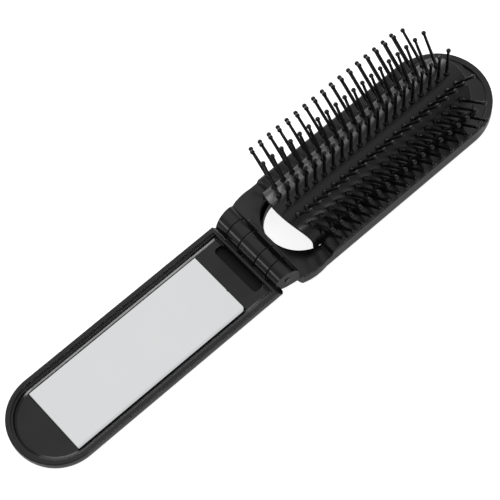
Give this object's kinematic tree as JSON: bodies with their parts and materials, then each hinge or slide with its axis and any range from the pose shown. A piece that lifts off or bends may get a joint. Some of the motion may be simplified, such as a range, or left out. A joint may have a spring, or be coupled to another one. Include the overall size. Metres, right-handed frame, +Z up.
{
  "type": "folding hairbrush with mirror",
  "caption": "Pocket hairbrush that folds on a knuckle hinge: a tray with a mirror and a head with an arched pad of ball-tipped pins that drops inside when it closes.",
  "frame": {"origin": "On the table plane midway between both ends and both sides, straight below the hinge axis, with the brush lying open on its back.", "axes": "+X from the mirror tray towards the tip of the bristle head, +Z up from the table towards the mirror and the pins, Y along the hinge pin"},
  "size_m": [0.2, 0.0458, 0.0378],
  "materials": {
    "shell": "glossy black moulded plastic",
    "bristles": "satin black soft plastic",
    "mirror": "silvered glass",
    "pin": "drawn steel wire",
    "tape": "white double-sided adhesive sheet"
  },
  "bodies": {
    "tray": {"mirror_tray": "shell", "mirror_glass": "mirror", "mirror_tape": "tape"},
    "head": {"head_frame": "shell", "hinge_pin": "pin", "bristle_row_left_2": "bristles", "bristle_row_right_2": "bristles", "bristle_row_left_3": "bristles", "bristle_row_right_3": "bristles"},
    "pad": {"bristle_row_centre": "bristles", "bristle_row_left_1": "bristles", "bristle_row_right_1": "bristles"}
  },
  "joints": [
    {"name": "fold", "type": "hinge", "parent": "tray", "child": "head", "pos_m": [0, 0, 0.0102], "axis": [0, -1, 0], "range_deg": [0, 180]},
    {"name": "pad_drop", "type": "slide", "parent": "head", "child": "pad", "axis": [0, 0, -1], "range_m": [0, 0.0251], "deforming": ["bristle_row_left_2", "bristle_row_right_2", "bristle_row_left_3", "bristle_row_right_3"]}
  ],
  "couplings": [
    {"joint": "pad_drop", "follows": "fold", "m_per_rad": 0.00797}
  ]
}
